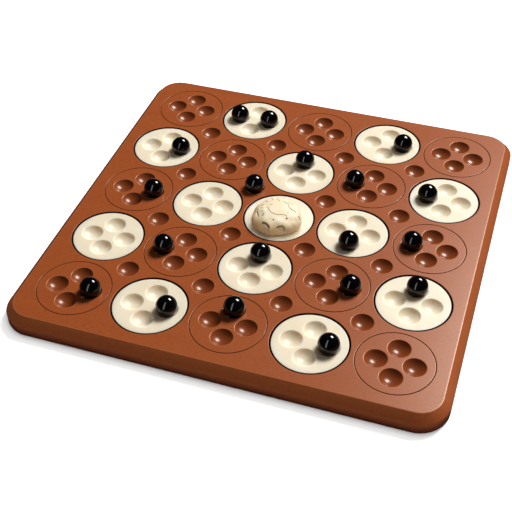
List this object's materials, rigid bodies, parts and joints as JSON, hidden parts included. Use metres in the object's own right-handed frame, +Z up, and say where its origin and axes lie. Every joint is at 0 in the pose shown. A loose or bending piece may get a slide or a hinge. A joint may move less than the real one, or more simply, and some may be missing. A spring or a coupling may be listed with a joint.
{
  "type": "square puzzle board with turning discs and balls",
  "caption": "Square board game with round discs that turn in their pockets, dimples that hold loose black balls, and a carved stone on the middle disc.",
  "frame": {"origin": "middle of the board's flat underside", "axes": "+Z up through the board, +X along the front edge to the right, +Y from the front edge to the back edge"},
  "size_m": [0.288, 0.288, 0.0237],
  "materials": {
    "stained_wood": "satin brown stain and lacquer",
    "ivory_lacquer": "satin ivory lacquer",
    "black_stone": "polished black",
    "carved_stone": "smooth carved cream"
  },
  "bodies": {
    "board": {"board": "stained_wood"},
    "disc_r1c1": {"disc_r1c1": "stained_wood"},
    "disc_r1c2": {"disc_r1c2": "ivory_lacquer"},
    "disc_r1c3": {"disc_r1c3": "stained_wood"},
    "disc_r1c4": {"disc_r1c4": "ivory_lacquer"},
    "disc_r1c5": {"disc_r1c5": "stained_wood"},
    "disc_r2c1": {"disc_r2c1": "ivory_lacquer"},
    "disc_r2c2": {"disc_r2c2": "stained_wood"},
    "disc_r2c3": {"disc_r2c3": "ivory_lacquer"},
    "disc_r2c4": {"disc_r2c4": "stained_wood"},
    "disc_r2c5": {"disc_r2c5": "ivory_lacquer"},
    "disc_r3c1": {"disc_r3c1": "stained_wood"},
    "disc_r3c2": {"disc_r3c2": "ivory_lacquer"},
    "disc_r3c3": {"disc_r3c3": "ivory_lacquer"},
    "disc_r3c4": {"disc_r3c4": "ivory_lacquer"},
    "disc_r3c5": {"disc_r3c5": "stained_wood"},
    "disc_r4c1": {"disc_r4c1": "ivory_lacquer"},
    "disc_r4c2": {"disc_r4c2": "stained_wood"},
    "disc_r4c3": {"disc_r4c3": "ivory_lacquer"},
    "disc_r4c4": {"disc_r4c4": "stained_wood"},
    "disc_r4c5": {"disc_r4c5": "ivory_lacquer"},
    "disc_r5c1": {"disc_r5c1": "stained_wood"},
    "disc_r5c2": {"disc_r5c2": "ivory_lacquer"},
    "disc_r5c3": {"disc_r5c3": "stained_wood"},
    "disc_r5c4": {"disc_r5c4": "ivory_lacquer"},
    "disc_r5c5": {"disc_r5c5": "stained_wood"},
    "ball_r1c2_left": {"ball_r1c2_left": "black_stone"},
    "ball_r1c2_right": {"ball_r1c2_right": "black_stone"},
    "ball_r1c4_right": {"ball_r1c4_right": "black_stone"},
    "ball_r2c1_right": {"ball_r2c1_right": "black_stone"},
    "ball_r2c3_back": {"ball_r2c3_back": "black_stone"},
    "ball_r2c4_left": {"ball_r2c4_left": "black_stone"},
    "ball_r2c5_left": {"ball_r2c5_left": "black_stone"},
    "ball_r3c1_right": {"ball_r3c1_right": "black_stone"},
    "ball_r3c4_front": {"ball_r3c4_front": "black_stone"},
    "ball_r3c5_left": {"ball_r3c5_left": "black_stone"},
    "ball_r4c2_left": {"ball_r4c2_left": "black_stone"},
    "ball_r4c3_back": {"ball_r4c3_back": "black_stone"},
    "ball_r4c4_right": {"ball_r4c4_right": "black_stone"},
    "ball_r4c5_back": {"ball_r4c5_back": "black_stone"},
    "ball_r5c1_right": {"ball_r5c1_right": "black_stone"},
    "ball_r5c2_right": {"ball_r5c2_right": "black_stone"},
    "ball_r5c3_back": {"ball_r5c3_back": "black_stone"},
    "ball_r5c4_right": {"ball_r5c4_right": "black_stone"},
    "ball_board_r2c2": {"ball_board_r2c2": "black_stone"},
    "centre_stone": {"centre_stone": "carved_stone"}
  },
  "joints": [
    {"name": "turn_r1c1", "type": "hinge", "parent": "board", "child": "disc_r1c1", "pos_m": [-0.106, 0.106, 0.0125], "axis": [0, 0, 1], "continuous": true},
    {"name": "lift_centre_stone", "type": "slide", "parent": "disc_r3c3", "child": "centre_stone", "axis": [0, 0, 1], "range_m": [0, 0.05]},
    {"name": "turn_r1c2", "type": "hinge", "parent": "board", "child": "disc_r1c2", "pos_m": [-0.053, 0.106, 0.0125], "axis": [0, 0, 1], "continuous": true},
    {"name": "lift_ball_board_r2c2", "type": "slide", "parent": "board", "child": "ball_board_r2c2", "axis": [0, 0, 1], "range_m": [0, 0.05]},
    {"name": "turn_r1c3", "type": "hinge", "parent": "board", "child": "disc_r1c3", "pos_m": [0, 0.106, 0.0125], "axis": [0, 0, 1], "continuous": true},
    {"name": "lift_ball_r1c2_left", "type": "slide", "parent": "disc_r1c2", "child": "ball_r1c2_left", "axis": [0, 0, 1], "range_m": [0, 0.05]},
    {"name": "turn_r1c4", "type": "hinge", "parent": "board", "child": "disc_r1c4", "pos_m": [0.053, 0.106, 0.0125], "axis": [0, 0, 1], "continuous": true},
    {"name": "lift_ball_r1c2_right", "type": "slide", "parent": "disc_r1c2", "child": "ball_r1c2_right", "axis": [0, 0, 1], "range_m": [0, 0.05]},
    {"name": "turn_r1c5", "type": "hinge", "parent": "board", "child": "disc_r1c5", "pos_m": [0.106, 0.106, 0.0125], "axis": [0, 0, 1], "continuous": true},
    {"name": "lift_ball_r1c4_right", "type": "slide", "parent": "disc_r1c4", "child": "ball_r1c4_right", "axis": [0, 0, 1], "range_m": [0, 0.05]},
    {"name": "turn_r2c1", "type": "hinge", "parent": "board", "child": "disc_r2c1", "pos_m": [-0.106, 0.053, 0.0125], "axis": [0, 0, 1], "continuous": true},
    {"name": "lift_ball_r2c1_right", "type": "slide", "parent": "disc_r2c1", "child": "ball_r2c1_right", "axis": [0, 0, 1], "range_m": [0, 0.05]},
    {"name": "turn_r2c2", "type": "hinge", "parent": "board", "child": "disc_r2c2", "pos_m": [-0.053, 0.053, 0.0125], "axis": [0, 0, 1], "continuous": true},
    {"name": "lift_ball_r2c3_back", "type": "slide", "parent": "disc_r2c3", "child": "ball_r2c3_back", "axis": [0, 0, 1], "range_m": [0, 0.05]},
    {"name": "turn_r2c3", "type": "hinge", "parent": "board", "child": "disc_r2c3", "pos_m": [0, 0.053, 0.0125], "axis": [0, 0, 1], "continuous": true},
    {"name": "lift_ball_r2c4_left", "type": "slide", "parent": "disc_r2c4", "child": "ball_r2c4_left", "axis": [0, 0, 1], "range_m": [0, 0.05]},
    {"name": "turn_r2c4", "type": "hinge", "parent": "board", "child": "disc_r2c4", "pos_m": [0.053, 0.053, 0.0125], "axis": [0, 0, 1], "continuous": true},
    {"name": "lift_ball_r2c5_left", "type": "slide", "parent": "disc_r2c5", "child": "ball_r2c5_left", "axis": [0, 0, 1], "range_m": [0, 0.05]},
    {"name": "turn_r2c5", "type": "hinge", "parent": "board", "child": "disc_r2c5", "pos_m": [0.106, 0.053, 0.0125], "axis": [0, 0, 1], "continuous": true},
    {"name": "lift_ball_r3c1_right", "type": "slide", "parent": "disc_r3c1", "child": "ball_r3c1_right", "axis": [0, 0, 1], "range_m": [0, 0.05]},
    {"name": "turn_r3c1", "type": "hinge", "parent": "board", "child": "disc_r3c1", "pos_m": [-0.106, 0, 0.0125], "axis": [0, 0, 1], "continuous": true},
    {"name": "lift_ball_r3c4_front", "type": "slide", "parent": "disc_r3c4", "child": "ball_r3c4_front", "axis": [0, 0, 1], "range_m": [0, 0.05]},
    {"name": "turn_r3c2", "type": "hinge", "parent": "board", "child": "disc_r3c2", "pos_m": [-0.053, 0, 0.0125], "axis": [0, 0, 1], "continuous": true},
    {"name": "lift_ball_r3c5_left", "type": "slide", "parent": "disc_r3c5", "child": "ball_r3c5_left", "axis": [0, 0, 1], "range_m": [0, 0.05]},
    {"name": "turn_r3c3", "type": "hinge", "parent": "board", "child": "disc_r3c3", "pos_m": [0, 0, 0.0125], "axis": [0, 0, 1], "continuous": true},
    {"name": "lift_ball_r4c2_left", "type": "slide", "parent": "disc_r4c2", "child": "ball_r4c2_left", "axis": [0, 0, 1], "range_m": [0, 0.05]},
    {"name": "turn_r3c4", "type": "hinge", "parent": "board", "child": "disc_r3c4", "pos_m": [0.053, 0, 0.0125], "axis": [0, 0, 1], "continuous": true},
    {"name": "lift_ball_r4c3_back", "type": "slide", "parent": "disc_r4c3", "child": "ball_r4c3_back", "axis": [0, 0, 1], "range_m": [0, 0.05]},
    {"name": "turn_r3c5", "type": "hinge", "parent": "board", "child": "disc_r3c5", "pos_m": [0.106, 0, 0.0125], "axis": [0, 0, 1], "continuous": true},
    {"name": "lift_ball_r4c4_right", "type": "slide", "parent": "disc_r4c4", "child": "ball_r4c4_right", "axis": [0, 0, 1], "range_m": [0, 0.05]},
    {"name": "turn_r4c1", "type": "hinge", "parent": "board", "child": "disc_r4c1", "pos_m": [-0.106, -0.053, 0.0125], "axis": [0, 0, 1], "continuous": true},
    {"name": "lift_ball_r4c5_back", "type": "slide", "parent": "disc_r4c5", "child": "ball_r4c5_back", "axis": [0, 0, 1], "range_m": [0, 0.05]},
    {"name": "turn_r4c2", "type": "hinge", "parent": "board", "child": "disc_r4c2", "pos_m": [-0.053, -0.053, 0.0125], "axis": [0, 0, 1], "continuous": true},
    {"name": "lift_ball_r5c1_right", "type": "slide", "parent": "disc_r5c1", "child": "ball_r5c1_right", "axis": [0, 0, 1], "range_m": [0, 0.05]},
    {"name": "turn_r4c3", "type": "hinge", "parent": "board", "child": "disc_r4c3", "pos_m": [0, -0.053, 0.0125], "axis": [0, 0, 1], "continuous": true},
    {"name": "lift_ball_r5c2_right", "type": "slide", "parent": "disc_r5c2", "child": "ball_r5c2_right", "axis": [0, 0, 1], "range_m": [0, 0.05]},
    {"name": "turn_r4c4", "type": "hinge", "parent": "board", "child": "disc_r4c4", "pos_m": [0.053, -0.053, 0.0125], "axis": [0, 0, 1], "continuous": true},
    {"name": "lift_ball_r5c3_back", "type": "slide", "parent": "disc_r5c3", "child": "ball_r5c3_back", "axis": [0, 0, 1], "range_m": [0, 0.05]},
    {"name": "turn_r4c5", "type": "hinge", "parent": "board", "child": "disc_r4c5", "pos_m": [0.106, -0.053, 0.0125], "axis": [0, 0, 1], "continuous": true},
    {"name": "lift_ball_r5c4_right", "type": "slide", "parent": "disc_r5c4", "child": "ball_r5c4_right", "axis": [0, 0, 1], "range_m": [0, 0.05]},
    {"name": "turn_r5c1", "type": "hinge", "parent": "board", "child": "disc_r5c1", "pos_m": [-0.106, -0.106, 0.0125], "axis": [0, 0, 1], "continuous": true},
    {"name": "turn_r5c2", "type": "hinge", "parent": "board", "child": "disc_r5c2", "pos_m": [-0.053, -0.106, 0.0125], "axis": [0, 0, 1], "continuous": true},
    {"name": "turn_r5c3", "type": "hinge", "parent": "board", "child": "disc_r5c3", "pos_m": [0, -0.106, 0.0125], "axis": [0, 0, 1], "continuous": true},
    {"name": "turn_r5c4", "type": "hinge", "parent": "board", "child": "disc_r5c4", "pos_m": [0.053, -0.106, 0.0125], "axis": [0, 0, 1], "continuous": true},
    {"name": "turn_r5c5", "type": "hinge", "parent": "board", "child": "disc_r5c5", "pos_m": [0.106, -0.106, 0.0125], "axis": [0, 0, 1], "continuous": true}
  ]
}
